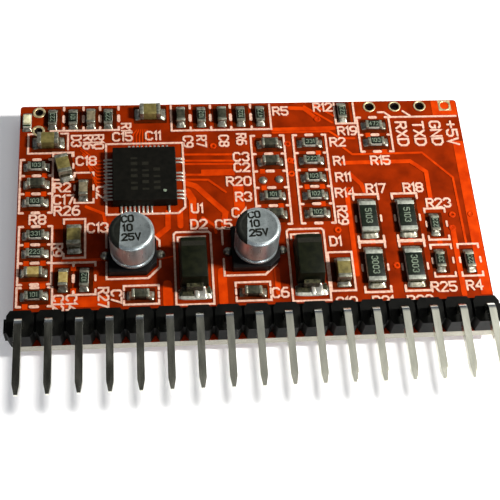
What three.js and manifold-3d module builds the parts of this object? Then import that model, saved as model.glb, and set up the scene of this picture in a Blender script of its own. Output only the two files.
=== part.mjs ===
// Servo driver board: a small single-in-line module. A 43 x 25.4 mm circuit board carries a
// fine-pitch controller chip, two electrolytic capacitors, two diodes and rows of chip
// resistors and capacitors. A 17-way pin strip stands along the front edge, and its pins
// bend forward over that edge.
//
// Units are millimetres and +Z is up. The layout is worked out in the board's own frame:
// X from the middle of the pin row, Y from the board's front edge, Z from its top face.
// One group then moves the whole assembly so that the origin is the bottom centre of its box.

import * as THREE from "three";
import { mergeVertices } from "three/addons/utils/BufferGeometryUtils.js";
import Module from "manifold-3d";

// ---------------------------------------------------------------- driving dimensions

const PITCH = 2.54; // pin row and serial port
const PIN_COUNT = 17;

const BOARD = { left: -21.2, right: 21.8, depth: 25.4, thickness: 1.0, cornerRadius: 0.3 };

const STRIP = {
  depth: 2.5,
  height: 2.0,
  blockWidth: 2.34, // what is left of one pitch beside the score line
  chamferX: 0.3,
  chamferY: 0.5,
  webHeight: 1.6,
  webInset: 0.6, // from the front and rear faces of the blocks
  stub: 0.25, // of broken web, past each end block
  pinSlot: 0.7,
};

const PIN = {
  side: 0.64,
  legY: 1.1,
  top: 3.4, // upper face of the bent-over length, above the board
  outerRadius: 0.95,
  reach: 5.7, // tip, ahead of the board's front edge
  tail: 1.2, // below the board's underside
  taper: 0.9,
  tipSide: 0.3,
};
const PIN_HOLE = 1.0;

const PORT = { firstX: 12.92, y: 24.7, count: 4, hole: 0.9 };
const TEST_HOLES = [
  { x: -19.42, y: 24.65, hole: 0.75 },
  { x: -19.45, y: 22.5, hole: 0.75 },
];

const CHIP = {
  x: -9.45,
  y: 16.75,
  body: 6.0,
  standoff: 0.1,
  height: 1.15, // top face above the board
  draft: 0.08,
  leadPitch: 0.4,
  leadWidth: 0.18,
  leadThickness: 0.12,
  leadSpan: 7.15, // toe to toe
  positions: 12,
  // lead positions left out for clearance between voltages, counted from the side's first corner
  skipped: { front: [8, 9, 10], right: [2, 3, 7, 8], rear: [10, 11], left: [] },
};

const CAN = { radius: 2.0, top: 4.5, bottom: 0.9, edge: 0.3, bead: 0.22 };
const CAN_BASE = { side: 4.3, height: 0.85, cut: 0.95, recess: 1.7 };
const CANS = [
  { side: "left", x: -10.7, y: 8.7 },
  { side: "right", x: 0.42, y: 8.8 },
];

const DIODE = { width: 2.6, length: 4.3, bottom: 0.28, top: 2.15, draft: 0.16 };
const DIODE_LEAD = { width: 1.45, thickness: 0.2, span: 5.1, under: 1.15, exit: 1.2 };
const DIODES = [
  { side: "left", x: -5.28, y: 7.2 },
  { side: "right", x: 5.18, y: 7.2 },
];

// Chip parts: length over the end caps, width, height, length of an end cap, and how far the
// end caps stand proud of the ceramic.
const SIZES = {
  large: { length: 3.2, width: 1.6, height: 0.6, cap: 0.45, proud: 0.03 },
  medium: { length: 2.0, width: 1.25, height: 1.1, cap: 0.42, proud: 0.03 },
  smallResistor: { length: 1.6, width: 0.8, height: 0.48, cap: 0.3, proud: 0.02 },
  smallCapacitor: { length: 1.6, width: 0.82, height: 0.72, cap: 0.32, proud: 0.02 },
};

const LARGE_RESISTORS = { xs: [11.25, 14.9], ys: [6.65, 11.85] };

// Ceramic capacitors: turn is the angle of the long axis from +X, in degrees.
const MEDIUM_CAPACITORS = [
  { x: -18.45, y: 21.05, turn: 0 },
  { x: -8.75, y: 24.2, turn: 0 },
  { x: -17.0, y: 18.15, turn: 104 },
  { x: -15.95, y: 10.45, turn: 90 },
  { x: 8.25, y: 6.25, turn: 90 },
];

// Rows and columns of small chip parts. Each letter is one part: R a resistor, C a capacitor
// and a dash an empty place. A part lies across its row or column.
const SMALL_ROWS = [
  { name: "rear_left", kinds: "RRCR", y: 23.75, xs: [-18.1, -16.15, -14.45, -12.8] },
  { name: "rear_middle", kinds: "CRCRR", y: 23.8, xs: [-5.8, -3.8, -1.8, 0.05, 1.95] },
];
const SMALL_COLUMNS = [
  { name: "column_a", kinds: "CR-CC", x: 2.5, y: 12.5, step: 1.95 },
  { name: "column_b", kinds: "RRRRR", x: 6.55, y: 12.5, step: 1.98 },
  { name: "port_pair", kinds: "RR", x: 13.05, y: 20.4, step: 1.97 },
];

const LED = { x: -20.5, y: 23.5, length: 1.6, width: 0.8, base: 0.3, lens: 0.3, lensLength: 1.1 };

// ---------------------------------------------------------------- materials

const COLOURS = {
  mask: { color: 0xb52a0c, roughness: 0.45, metalness: 0.0 },
  blackPlastic: { color: 0x151513, roughness: 0.5, metalness: 0.0 },
  tin: { color: 0xb9b7a8, roughness: 0.35, metalness: 1.0 },
  epoxy: { color: 0x11120f, roughness: 0.6, metalness: 0.0 },
  aluminium: { color: 0xb4b8b6, roughness: 0.3, metalness: 1.0 },
  resistor: { color: 0x1a1d18, roughness: 0.5, metalness: 0.1 },
  ceramic: { color: 0x8f7a45, roughness: 0.55, metalness: 0.0 },
  led: { color: 0xd9d6a8, roughness: 0.3, metalness: 0.0 },
};

function material(name) {
  return new THREE.MeshStandardMaterial(COLOURS[name]);
}

// ---------------------------------------------------------------- solids

const wasm = await Module();
wasm.setup();

function solid(geometry) {
  const bare = geometry.clone();
  bare.deleteAttribute("normal");
  bare.deleteAttribute("uv");
  const merged = mergeVertices(bare, 1e-4);
  return new wasm.Manifold(
    new wasm.Mesh({
      numProp: 3,
      vertProperties: new Float32Array(merged.attributes.position.array),
      triVerts: new Uint32Array(merged.index.array),
    }),
  );
}

function geometryOf(manifold) {
  const made = manifold.getMesh();
  const geometry = new THREE.BufferGeometry();
  geometry.setAttribute("position", new THREE.BufferAttribute(made.vertProperties, 3));
  geometry.setIndex(new THREE.BufferAttribute(made.triVerts, 1));
  const flat = geometry.toNonIndexed();
  flat.computeVertexNormals();
  return flat;
}

function union(geometries) {
  return geometries.map(solid).reduce((whole, piece) => whole.add(piece));
}

function block(width, depth, height, x, y, bottom) {
  return new THREE.BoxGeometry(width, depth, height).translate(x, y, bottom + height / 2);
}

// An outline in the XY plane, raised from z = bottom.
function raised(shape, height, bottom, curveSegments = 8) {
  return new THREE.ExtrudeGeometry(shape, {
    depth: height,
    bevelEnabled: false,
    curveSegments,
  }).translate(0, 0, bottom);
}

// An outline drawn as (Y, Z), extruded along X and centred on x = 0.
function sideProfile(shape, width, curveSegments = 4) {
  const geometry = new THREE.ExtrudeGeometry(shape, {
    depth: width,
    bevelEnabled: false,
    curveSegments,
  });
  const swap = new THREE.Matrix4().set(0, 0, 1, -width / 2, 1, 0, 0, 0, 0, 1, 0, 0, 0, 0, 0, 1);
  return geometry.applyMatrix4(swap);
}

function polygon(points) {
  return new THREE.Shape(points.map(([u, v]) => new THREE.Vector2(u, v)));
}

function roundedRectangle(left, bottom, right, top, radius) {
  const shape = new THREE.Shape();
  shape.absarc(right - radius, bottom + radius, radius, -Math.PI / 2, 0);
  shape.absarc(right - radius, top - radius, radius, 0, Math.PI / 2);
  shape.absarc(left + radius, top - radius, radius, Math.PI / 2, Math.PI);
  shape.absarc(left + radius, bottom + radius, radius, Math.PI, 1.5 * Math.PI);
  return shape;
}

// A moulded block, widest at its parting line, which is at mid height.
function draftedBlock(width, depth, bottom, top, draft) {
  const height = top - bottom;
  const geometry = new THREE.BoxGeometry(width, depth, height, 1, 1, 2);
  const position = geometry.attributes.position;
  for (let i = 0; i < position.count; i += 1) {
    const away = Math.abs(position.getZ(i)) / (height / 2);
    position.setX(i, position.getX(i) - Math.sign(position.getX(i)) * draft * away);
    position.setY(i, position.getY(i) - Math.sign(position.getY(i)) * draft * away);
  }
  return geometry.translate(0, 0, bottom + height / 2);
}

// ---------------------------------------------------------------- board and pin row

function pinX(index) {
  return (index - (PIN_COUNT - 1) / 2) * PITCH;
}

function boardGeometry() {
  const outline = roundedRectangle(BOARD.left, 0, BOARD.right, BOARD.depth, BOARD.cornerRadius);
  const drill = (x, y, diameter) => {
    outline.holes.push(new THREE.Path().absarc(x, y, diameter / 2, 0, 2 * Math.PI, true));
  };
  for (let i = 0; i < PIN_COUNT; i += 1) drill(pinX(i), PIN.legY, PIN_HOLE);
  for (let i = 0; i < PORT.count; i += 1) drill(PORT.firstX + i * PITCH, PORT.y, PORT.hole);
  for (const { x, y, hole } of TEST_HOLES) drill(x, y, hole);
  return raised(outline, BOARD.thickness, -BOARD.thickness);
}

// One moulded strip: a chamfered block round each pin, joined by low webs that snap.
function stripGeometry() {
  const halfWidth = STRIP.blockWidth / 2;
  const waist = halfWidth - STRIP.chamferX;
  const shoulder = STRIP.depth - STRIP.chamferY;
  const outline = polygon([
    [-waist, 0],
    [waist, 0],
    [halfWidth, STRIP.chamferY],
    [halfWidth, shoulder],
    [waist, STRIP.depth],
    [-waist, STRIP.depth],
    [-halfWidth, shoulder],
    [-halfWidth, STRIP.chamferY],
  ]);
  const webDepth = STRIP.depth - 2 * STRIP.webInset;
  const webLength = (PIN_COUNT - 1) * PITCH + STRIP.blockWidth + 2 * STRIP.stub;
  let strip = solid(block(webLength, webDepth, STRIP.webHeight, 0, STRIP.depth / 2, 0));
  for (let i = 0; i < PIN_COUNT; i += 1) {
    strip = strip.add(solid(raised(outline, STRIP.height, 0).translate(pinX(i), 0, 0)));
  }
  for (let i = 0; i < PIN_COUNT; i += 1) {
    const slot = block(STRIP.pinSlot, STRIP.pinSlot, STRIP.height + 2, pinX(i), PIN.legY, -1);
    strip = strip.subtract(solid(slot));
  }
  return geometryOf(strip);
}

// A square wire: up through the board and the strip, then bent forward over the front edge.
function pinGeometry() {
  const half = PIN.side / 2;
  const inner = PIN.outerRadius - PIN.side;
  const centreY = PIN.legY + half - PIN.outerRadius;
  const centreZ = PIN.top - PIN.outerRadius;
  const foot = -BOARD.thickness - PIN.tail;

  const bent = new THREE.Shape();
  bent.moveTo(PIN.legY - half, foot);
  bent.lineTo(PIN.legY + half, foot);
  bent.absarc(centreY, centreZ, PIN.outerRadius, 0, Math.PI / 2, false);
  bent.lineTo(-PIN.reach, PIN.top);
  bent.lineTo(-PIN.reach, PIN.top - PIN.side);
  bent.absarc(centreY, centreZ, inner, Math.PI / 2, 0, true);
  const wire = solid(sideProfile(bent, PIN.side, 6));

  // The tip narrows to a small square face: plan gives its sides, the two cuts its top and
  // underside.
  const tip = PIN.tipSide / 2;
  const shoulder = PIN.taper - PIN.reach;
  const middle = PIN.top - half;
  const plan = polygon([
    [-tip, -PIN.reach],
    [tip, -PIN.reach],
    [half, shoulder],
    [half, PIN.legY + 1],
    [-half, PIN.legY + 1],
    [-half, shoulder],
  ]);
  const cut = (side) =>
    polygon([
      [shoulder, middle + side * half],
      [shoulder, middle + side * (half + 1)],
      [-PIN.reach - 1, middle + side * (half + 1)],
      [-PIN.reach - 1, middle + side * tip],
      [-PIN.reach, middle + side * tip],
    ]);
  return geometryOf(
    wire
      .intersect(solid(raised(plan, PIN.top - foot + 2, foot - 1)))
      .subtract(solid(sideProfile(cut(1), 2)))
      .subtract(solid(sideProfile(cut(-1), 2))),
  );
}

// ---------------------------------------------------------------- parts on the board

// One gull-wing lead on the side that faces +Y, at x = 0.
function leadGeometry() {
  const t = CHIP.leadThickness;
  const exit = CHIP.height / 2 + 0.02;
  const inside = CHIP.body / 2 - 0.3;
  const toe = CHIP.leadSpan / 2;
  const bend = CHIP.body / 2 + 0.14;
  const heel = bend + 0.1;
  return sideProfile(
    polygon([
      [inside, exit],
      [inside, exit - t],
      [bend, exit - t],
      [heel, 0],
      [toe, 0],
      [toe, t],
      [heel + t, t],
      [bend + t, exit],
    ]),
    CHIP.leadWidth,
  );
}

function controllerGeometry() {
  let chip = solid(
    draftedBlock(CHIP.body, CHIP.body, CHIP.standoff, CHIP.height, CHIP.draft),
  );
  const sides = [
    { name: "rear", turn: 0 },
    { name: "left", turn: Math.PI / 2 },
    { name: "front", turn: Math.PI },
    { name: "right", turn: -Math.PI / 2 },
  ];
  for (const { name, turn } of sides) {
    for (let i = 0; i < CHIP.positions; i += 1) {
      // positions count left to right on the front and rear, and rear to front at the sides
      const along = (i - (CHIP.positions - 1) / 2) * CHIP.leadPitch;
      if (CHIP.skipped[name].includes(i)) continue;
      const facing = name === "rear" || name === "right" ? along : -along;
      const lead = leadGeometry().translate(facing, 0, 0).rotateZ(turn);
      chip = chip.add(solid(lead));
    }
  }
  return geometryOf(chip);
}

// A drawn aluminium can: rounded top edge, straight side, rolled bead at the foot.
function canGeometry() {
  const { radius, top, bottom, edge, bead } = CAN;
  const profile = new THREE.Path();
  profile.moveTo(0, bottom);
  profile.lineTo(radius - bead, bottom);
  profile.absarc(radius - bead, bottom + bead, bead, -Math.PI / 2, 0, false);
  profile.lineTo(radius, top - edge);
  profile.absarc(radius - edge, top - edge, edge, 0, Math.PI / 2, false);
  profile.lineTo(0, top);
  const lathe = new THREE.LatheGeometry(profile.getPoints(5), 40);
  return geometryOf(solid(lathe.rotateX(Math.PI / 2)));
}

// The moulded seat under a can: square, with the two corners on the plus side cut off and a
// shallow ring that the can's foot stands in.
function baseGeometry() {
  const half = CAN_BASE.side / 2;
  const cut = half - CAN_BASE.cut;
  const outline = polygon([
    [-half, -half],
    [cut, -half],
    [half, -cut],
    [half, cut],
    [cut, half],
    [-half, half],
  ]);
  const seat = solid(raised(outline, CAN_BASE.height, 0));
  const hollow = new THREE.CylinderGeometry(CAN_BASE.recess, CAN_BASE.recess, 0.3, 24);
  hollow.rotateX(Math.PI / 2).translate(0, 0, CAN_BASE.height);
  return geometryOf(seat.subtract(solid(hollow)));
}

function diodeGeometry() {
  return draftedBlock(DIODE.width, DIODE.length, DIODE.bottom, DIODE.top, DIODE.draft);
}

// A flat lead that leaves the end of the body, drops and turns in under it, facing +Y.
function diodeLeadGeometry() {
  const { width, thickness, span, under, exit } = DIODE_LEAD;
  const face = DIODE.length / 2 + 0.01;
  const out = span / 2;
  const profile = polygon([
    [face, exit],
    [face, exit - thickness],
    [out - thickness, exit - thickness],
    [out - thickness, thickness],
    [out - under, thickness],
    [out - under, 0],
    [out, 0],
    [out, exit],
  ]);
  return sideProfile(profile, width);
}

// A ceramic block along X with a metal cap over each end.
function chipPartGeometry({ length, width, height, cap, proud }) {
  const inner = length - 2 * cap;
  const body = block(inner + cap, width - 2 * proud, height - 2 * proud, 0, 0, proud);
  const end = (side) => block(cap, width, height, side * (length - cap) / 2, 0, 0);
  return geometryOf(union([body, end(-1), end(1)]));
}

function ledGeometry() {
  const base = block(LED.width, LED.length, LED.base, 0, 0, 0);
  const lens = block(LED.width - 0.1, LED.lensLength, LED.lens + 0.1, 0, 0, LED.base - 0.1);
  return geometryOf(union([base, lens]));
}

// ---------------------------------------------------------------- assembly

const assembly = new THREE.Group();

function add(name, geometry, materialName, x = 0, y = 0, turn = 0) {
  const mesh = new THREE.Mesh(geometry, material(materialName));
  mesh.name = name;
  mesh.position.set(x, y, 0);
  mesh.rotation.z = THREE.MathUtils.degToRad(turn);
  assembly.add(mesh);
}

add("board", boardGeometry(), "mask");
add("pin_strip", stripGeometry(), "blackPlastic");
for (let i = 0; i < PIN_COUNT; i += 1) {
  add("header_pin_" + String(i + 1).padStart(2, "0"), pinGeometry(), "tin", pinX(i));
}

add("controller_chip", controllerGeometry(), "epoxy", CHIP.x, CHIP.y);

for (const { side, x, y } of CANS) {
  add("capacitor_can_" + side, canGeometry(), "aluminium", x, y);
  add("capacitor_base_" + side, baseGeometry(), "blackPlastic", x, y);
}

for (const { side, x, y } of DIODES) {
  add("diode_body_" + side, diodeGeometry(), "epoxy", x, y);
  add("diode_lead_rear_" + side, diodeLeadGeometry(), "tin", x, y);
  add("diode_lead_front_" + side, diodeLeadGeometry(), "tin", x, y, 180);
}

LARGE_RESISTORS.xs.forEach((x, column) => {
  LARGE_RESISTORS.ys.forEach((y, row) => {
    const name = "large_resistor_" + (2 * column + row + 1);
    add(name, chipPartGeometry(SIZES.large), "resistor", x, y, 90);
  });
});

MEDIUM_CAPACITORS.forEach(({ x, y, turn }, i) => {
  add("medium_capacitor_" + (i + 1), chipPartGeometry(SIZES.medium), "ceramic", x, y, turn);
});

function addSmallPart(group, index, kind, x, y, turn) {
  if (kind === "-") return;
  const resistor = kind === "R";
  const name = (resistor ? "resistor_" : "capacitor_") + group + "_" + (index + 1);
  const size = resistor ? SIZES.smallResistor : SIZES.smallCapacitor;
  add(name, chipPartGeometry(size), resistor ? "resistor" : "ceramic", x, y, turn);
}
for (const { name, kinds, y, xs } of SMALL_ROWS) {
  [...kinds].forEach((kind, i) => addSmallPart(name, i, kind, xs[i], y, 90));
}
for (const { name, kinds, x, y, step } of SMALL_COLUMNS) {
  [...kinds].forEach((kind, i) => addSmallPart(name, i, kind, x, y + i * step, 0));
}

add("indicator_led", ledGeometry(), "led", LED.x, LED.y);

// Origin: the bottom centre of the assembly's box. The pin strip reaches furthest left, the
// board furthest right, the pin tips furthest forward and the pin tails lowest.
const stripLeft = pinX(0) - STRIP.blockWidth / 2 - STRIP.stub;
assembly.position.set(
  -(stripLeft + BOARD.right) / 2,
  -(BOARD.depth - PIN.reach) / 2,
  BOARD.thickness + PIN.tail,
);

const module = new THREE.Group();
module.add(assembly);

export default module;
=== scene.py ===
"""The looks of the servo driver board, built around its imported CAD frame.

Lengths are millimetres in the board's own frame until Solid.build turns them into metres:
X to the right from the middle of the pin row, Y from the front edge, Z up from the top face.
"""

import math
import random

import bmesh
import bpy
from mathutils import Matrix, Vector


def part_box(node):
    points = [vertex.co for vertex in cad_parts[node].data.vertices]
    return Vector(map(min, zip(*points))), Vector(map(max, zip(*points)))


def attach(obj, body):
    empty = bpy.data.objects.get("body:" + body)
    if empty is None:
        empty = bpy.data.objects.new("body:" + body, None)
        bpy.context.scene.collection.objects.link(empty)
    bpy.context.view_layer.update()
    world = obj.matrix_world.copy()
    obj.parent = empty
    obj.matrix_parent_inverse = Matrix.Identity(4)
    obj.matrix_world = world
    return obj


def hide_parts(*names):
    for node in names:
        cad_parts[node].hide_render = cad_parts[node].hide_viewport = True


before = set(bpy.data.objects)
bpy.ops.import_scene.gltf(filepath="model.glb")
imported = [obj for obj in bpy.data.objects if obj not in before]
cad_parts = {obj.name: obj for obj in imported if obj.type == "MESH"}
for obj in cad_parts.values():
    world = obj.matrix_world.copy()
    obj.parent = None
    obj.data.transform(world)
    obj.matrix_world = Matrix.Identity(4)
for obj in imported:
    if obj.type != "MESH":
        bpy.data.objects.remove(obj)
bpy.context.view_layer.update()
SEED = 17
random.seed(SEED)

MM = 0.001
BOARD_LEFT, BOARD_THICKNESS = -21.2, 1.0
PITCH = 2.54
HEADER_PINS, HEADER_Y = 17, 1.1
PORT_X, PORT_Y, PORT_HOLES = 12.92, 24.7, 4
board_low, board_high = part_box("board")
ORIGIN = Vector((board_low.x - BOARD_LEFT * MM, board_low.y, board_high.z))
# Heights of the thin layers above the board's top face.
LAYER = {"bare": 0.012, "trace": 0.03, "silk": 0.05, "pad": 0.04}
RIBBON_STEP, RIBBON_STEPS = 0.002, 12  # small height steps that keep crossing lines from sharing a plane


def at(x, y, z=0.0):
    """A point of the board's frame, in metres of the row's frame."""
    return ORIGIN + Vector((x, y, z)) * MM


# ---------------------------------------------------------------- materials


def rgb(red, green, blue):
    """A display colour from 0 to 255 as linear RGBA."""

    def linear(value):
        value /= 255
        return value / 12.92 if value <= 0.04045 else ((value + 0.055) / 1.055) ** 2.4

    return (linear(red), linear(green), linear(blue), 1.0)


class Finish:
    """A procedural material: a noise-driven colour and roughness, with a fine bump."""

    def __init__(self, name, dark, light, roughness, patch=0.8, grain=0.05, bump=0.15, depth=0.004,
                 metallic=0.0, coat=0.0, specular=0.5, stretch=(1, 1, 1)):
        self.material = bpy.data.materials.new(name)
        self.material.use_nodes = True
        self.tree = self.material.node_tree
        self.shader = self.tree.nodes["Principled BSDF"]
        self.shader.inputs["Metallic"].default_value = metallic
        self.shader.inputs["Coat Weight"].default_value = coat
        self.shader.inputs["Coat Roughness"].default_value = 0.1
        self.shader.inputs["Specular IOR Level"].default_value = specular
        self.place = self.node("ShaderNodeTexCoord").outputs["Object"]
        if stretch != (1, 1, 1):
            mapping = self.node("ShaderNodeMapping")
            mapping.inputs["Scale"].default_value = stretch
            self.link(self.place, mapping.inputs["Vector"])
            self.place = mapping.outputs["Vector"]
        self.colour = self.ramp(self.noise(patch, 4), [(0.35, dark), (0.65, light)])
        self.link(self.colour, self.shader.inputs["Base Color"])
        fine = self.noise(grain, 3)
        self.link(self.span(fine, *roughness), self.shader.inputs["Roughness"])
        relief = self.node("ShaderNodeBump")
        relief.inputs["Strength"].default_value = bump
        relief.inputs["Distance"].default_value = depth * MM
        self.link(fine, relief.inputs["Height"])
        self.link(relief.outputs["Normal"], self.shader.inputs["Normal"])

    def node(self, kind):
        return self.tree.nodes.new(kind)

    def link(self, source, target):
        self.tree.links.new(source, target)

    def noise(self, size, detail):
        """Noise whose cells are about size millimetres across."""
        node = self.node("ShaderNodeTexNoise")
        node.inputs["Scale"].default_value = 1 / (size * MM)
        node.inputs["Detail"].default_value = detail
        self.link(self.place, node.inputs["Vector"])
        return node.outputs["Fac"]

    def ramp(self, source, stops):
        node = self.node("ShaderNodeValToRGB")
        while len(node.color_ramp.elements) < len(stops):
            node.color_ramp.elements.new(0.5)
        for element, (position, colour) in zip(node.color_ramp.elements, stops):
            element.position, element.color = position, colour
        self.link(source, node.inputs["Fac"])
        return node.outputs["Color"]

    def span(self, source, low, high):
        """The middle of a noise's range, spread from low to high."""
        node = self.node("ShaderNodeMapRange")
        node.inputs["From Min"].default_value = 0.3
        node.inputs["From Max"].default_value = 0.7
        node.inputs["To Min"].default_value = low
        node.inputs["To Max"].default_value = high
        self.link(source, node.inputs["Value"])
        return node.outputs["Result"]

    def blend(self, factor, first, second):
        """The first colour where factor is 0, the second where it is 1."""
        node = self.node("ShaderNodeMix")
        node.data_type = "RGBA"
        self.link(factor, node.inputs["Factor"])
        self.link(first, node.inputs["A"])
        self.link(second, node.inputs["B"])
        self.link(node.outputs["Result"], self.shader.inputs["Base Color"])
        return node.outputs["Result"]


MASK = Finish("red_solder_mask", rgb(104, 25, 0), rgb(136, 36, 1), (0.4, 0.52), patch=2.2, grain=0.09,
              bump=0.12, depth=0.006, specular=0.03)
BARE = Finish("mask_over_laminate", rgb(52, 15, 1), rgb(80, 24, 3), (0.4, 0.52), patch=0.7, grain=0.08,
              bump=0.12, depth=0.005, specular=0.03)
TRACE = Finish("masked_copper", rgb(166, 42, 0), rgb(196, 58, 2), (0.38, 0.5), patch=1.2, grain=0.09,
               bump=0.1, depth=0.005, specular=0.04)
SILK = Finish("silkscreen_ink", rgb(188, 148, 128), rgb(222, 184, 164), (0.55, 0.75), patch=0.22, grain=0.03,
              bump=0.25, depth=0.004, specular=0.2)
SOLDER = Finish("solder", rgb(120, 116, 98), rgb(196, 192, 174), (0.26, 0.4), patch=0.3, grain=0.2,
                bump=0.3, depth=0.02, metallic=0.9)
TIN = Finish("tinned_terminal", rgb(112, 112, 96), rgb(168, 168, 150), (0.3, 0.44), patch=0.25, grain=0.1,
             bump=0.2, depth=0.008, metallic=0.75)
PALE_TIN = Finish("pale_terminal", rgb(142, 146, 134), rgb(188, 192, 178), (0.3, 0.44), patch=0.3, grain=0.1,
                  bump=0.2, depth=0.008, metallic=0.6)
# Bright tinned leads. On the diodes' front solder this brighter copy of solder is a painted highlight.
LEAD_AND_HIGHLIGHT = Finish("bright_lead_and_painted_highlight", rgb(204, 202, 188), rgb(232, 230, 216), (0.26, 0.4), patch=0.3, grain=0.1,
              bump=0.2, depth=0.008, metallic=0.8)
PIN = Finish("tinned_pin", rgb(212, 212, 198), rgb(236, 235, 220), (0.13, 0.24), patch=0.8, grain=0.5,
             bump=0.1, depth=0.006, metallic=1.0, stretch=(1, 0.25, 1))
GOLD = Finish("tinned_ring", rgb(176, 158, 112), rgb(222, 206, 160), (0.3, 0.45), patch=0.3, grain=0.1,
              bump=0.25, depth=0.008, metallic=0.6)
BLACK = Finish("black_header_plastic", rgb(5, 6, 5), rgb(13, 13, 11), (0.42, 0.58), patch=0.9, grain=0.08,
               bump=0.3, depth=0.01, specular=0.08)
BASE = Finish("black_base_plastic", rgb(8, 7, 7), rgb(16, 14, 13), (0.4, 0.55), patch=0.6, grain=0.08,
              bump=0.3, depth=0.01, specular=0.12)
EPOXY = Finish("chip_epoxy", rgb(9, 9, 6), rgb(16, 15, 11), (0.45, 0.62), patch=0.5, grain=0.06,
               bump=0.4, depth=0.01, specular=0.08)
DIODE = Finish("diode_epoxy", rgb(10, 13, 5), rgb(22, 24, 12), (0.38, 0.54), patch=0.6, grain=0.07,
               bump=0.4, depth=0.01, specular=0.1)
CAN = Finish("can_aluminium", rgb(158, 168, 168), rgb(188, 198, 198), (0.26, 0.38), patch=0.6, grain=0.1,
             bump=0.15, depth=0.006, metallic=0.8, stretch=(1, 1, 0.15))
INK = Finish("dark_ink", rgb(14, 16, 12), rgb(24, 26, 20), (0.5, 0.65), patch=0.3, grain=0.05, bump=0.2,
             specular=0.15)
MARK = Finish("faint_mark", rgb(20, 19, 13), rgb(31, 30, 21), (0.6, 0.75), patch=0.1, grain=0.03, bump=0.2,
              specular=0.15)
CODE = Finish("value_code", rgb(88, 102, 86), rgb(128, 140, 120), (0.5, 0.65), patch=0.12, grain=0.03,
              bump=0.2, specular=0.2)
ALUMINA = Finish("alumina", rgb(150, 148, 134), rgb(184, 182, 168), (0.5, 0.65), patch=0.3, grain=0.05,
                 bump=0.3, specular=0.2)
GLAZE = Finish("resistor_glaze", rgb(12, 18, 12), rgb(26, 33, 24), (0.3, 0.45), patch=0.4, grain=0.1,
               bump=0.3, depth=0.01, specular=0.2)
OLIVE = Finish("ceramic_olive", rgb(84, 76, 38), rgb(116, 106, 60), (0.35, 0.5), patch=0.4, grain=0.06,
               bump=0.35, depth=0.01, specular=0.3)
TAN = Finish("ceramic_tan", rgb(96, 88, 66), rgb(128, 118, 94), (0.35, 0.5), patch=0.3, grain=0.06,
             bump=0.35, depth=0.01, specular=0.3)
YELLOW = Finish("ceramic_yellow", rgb(138, 118, 64), rgb(166, 148, 92), (0.35, 0.5), patch=0.3, grain=0.06,
                bump=0.35, depth=0.01, specular=0.3)
DARK = Finish("ceramic_dark", rgb(34, 36, 28), rgb(60, 59, 47), (0.32, 0.46), patch=0.3, grain=0.06,
              bump=0.35, depth=0.01, specular=0.2)
# Flux-stained solder. The lump of it left of each diode's front lead is painted shade, the lead's shadow.
STAIN_AND_SHADE = Finish("flux_stain_and_painted_shade", rgb(18, 19, 11), rgb(78, 76, 54), (0.22, 0.4), patch=0.25, grain=0.12,
               bump=0.5, depth=0.02, metallic=0.3)
LENS = Finish("led_lens", rgb(186, 182, 142), rgb(216, 212, 176), (0.2, 0.32), patch=0.4, grain=0.08, bump=0.2,
              coat=0.2)
GREEN = Finish("led_green", rgb(16, 34, 18), rgb(32, 58, 32), (0.3, 0.45), patch=0.2, grain=0.06, bump=0.2,
               specular=0.2)
HOLE = Finish("hole_shadow", rgb(14, 8, 5), rgb(32, 18, 12), (0.5, 0.7), patch=0.2, grain=0.06, bump=0.2,
              specular=0.1)

# ---------------------------------------------------------------- geometry


def turned(vertices, centre, turn):
    """Vertices turned about Z by degrees, then moved to centre."""
    place = Matrix.Translation(Vector(centre)) @ Matrix.Rotation(math.radians(turn), 4, "Z")
    return [place @ Vector(v) for v in vertices]


class Solid:
    """One piece: closed shapes in board millimetres, each with its own finish."""

    def __init__(self, name, slot):
        self.name, self.slot = name, slot
        self.vertices, self.faces, self.finishes = [], [], []
        self.used = []

    def add(self, shape, finish, centre=(0, 0, 0), turn=0, smooth=False):
        vertices, faces = shape
        start = len(self.vertices)
        self.vertices += turned(vertices, centre, turn)
        if finish not in self.used:
            self.used.append(finish)
        for face in faces:
            self.faces.append([start + i for i in face])
            self.finishes.append((self.used.index(finish), smooth))
        return self

    def build(self, *nodes):
        """Makes the piece, riding on the one body; it stands for the CAD nodes named."""
        mesh = bpy.data.meshes.new(self.name)
        mesh.from_pydata([at(*v) for v in self.vertices], [], self.faces)
        for polygon, (index, smooth) in zip(mesh.polygons, self.finishes):
            polygon.material_index, polygon.use_smooth = index, smooth
        for finish in self.used:
            mesh.materials.append(finish.material)
        work = bmesh.new()
        work.from_mesh(mesh)
        bmesh.ops.recalc_face_normals(work, faces=work.faces)
        work.to_mesh(mesh)
        work.free()
        piece = bpy.data.objects.new(self.name, mesh)
        bpy.context.scene.collection.objects.link(piece)
        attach(piece, "root")
        if nodes:
            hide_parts(*nodes)


def rounded_box(size, radius, segments=2, draft=0.0, lift=0.0):
    """A box standing on z = lift with rounded edges; draft narrows its top on every side."""
    work = bmesh.new()
    bmesh.ops.create_cube(work, size=1)
    for v in work.verts:
        narrow = 2 * draft if v.co.z > 0 else 0
        v.co = (v.co.x * (size[0] - narrow), v.co.y * (size[1] - narrow), (v.co.z + 0.5) * size[2] + lift)
    bmesh.ops.bevel(work, geom=work.edges[:], offset=radius, segments=segments, profile=0.5, affect="EDGES")
    work.verts.index_update()
    shape = [v.co[:] for v in work.verts], [[v.index for v in f.verts] for f in work.faces]
    work.free()
    return shape


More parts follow.
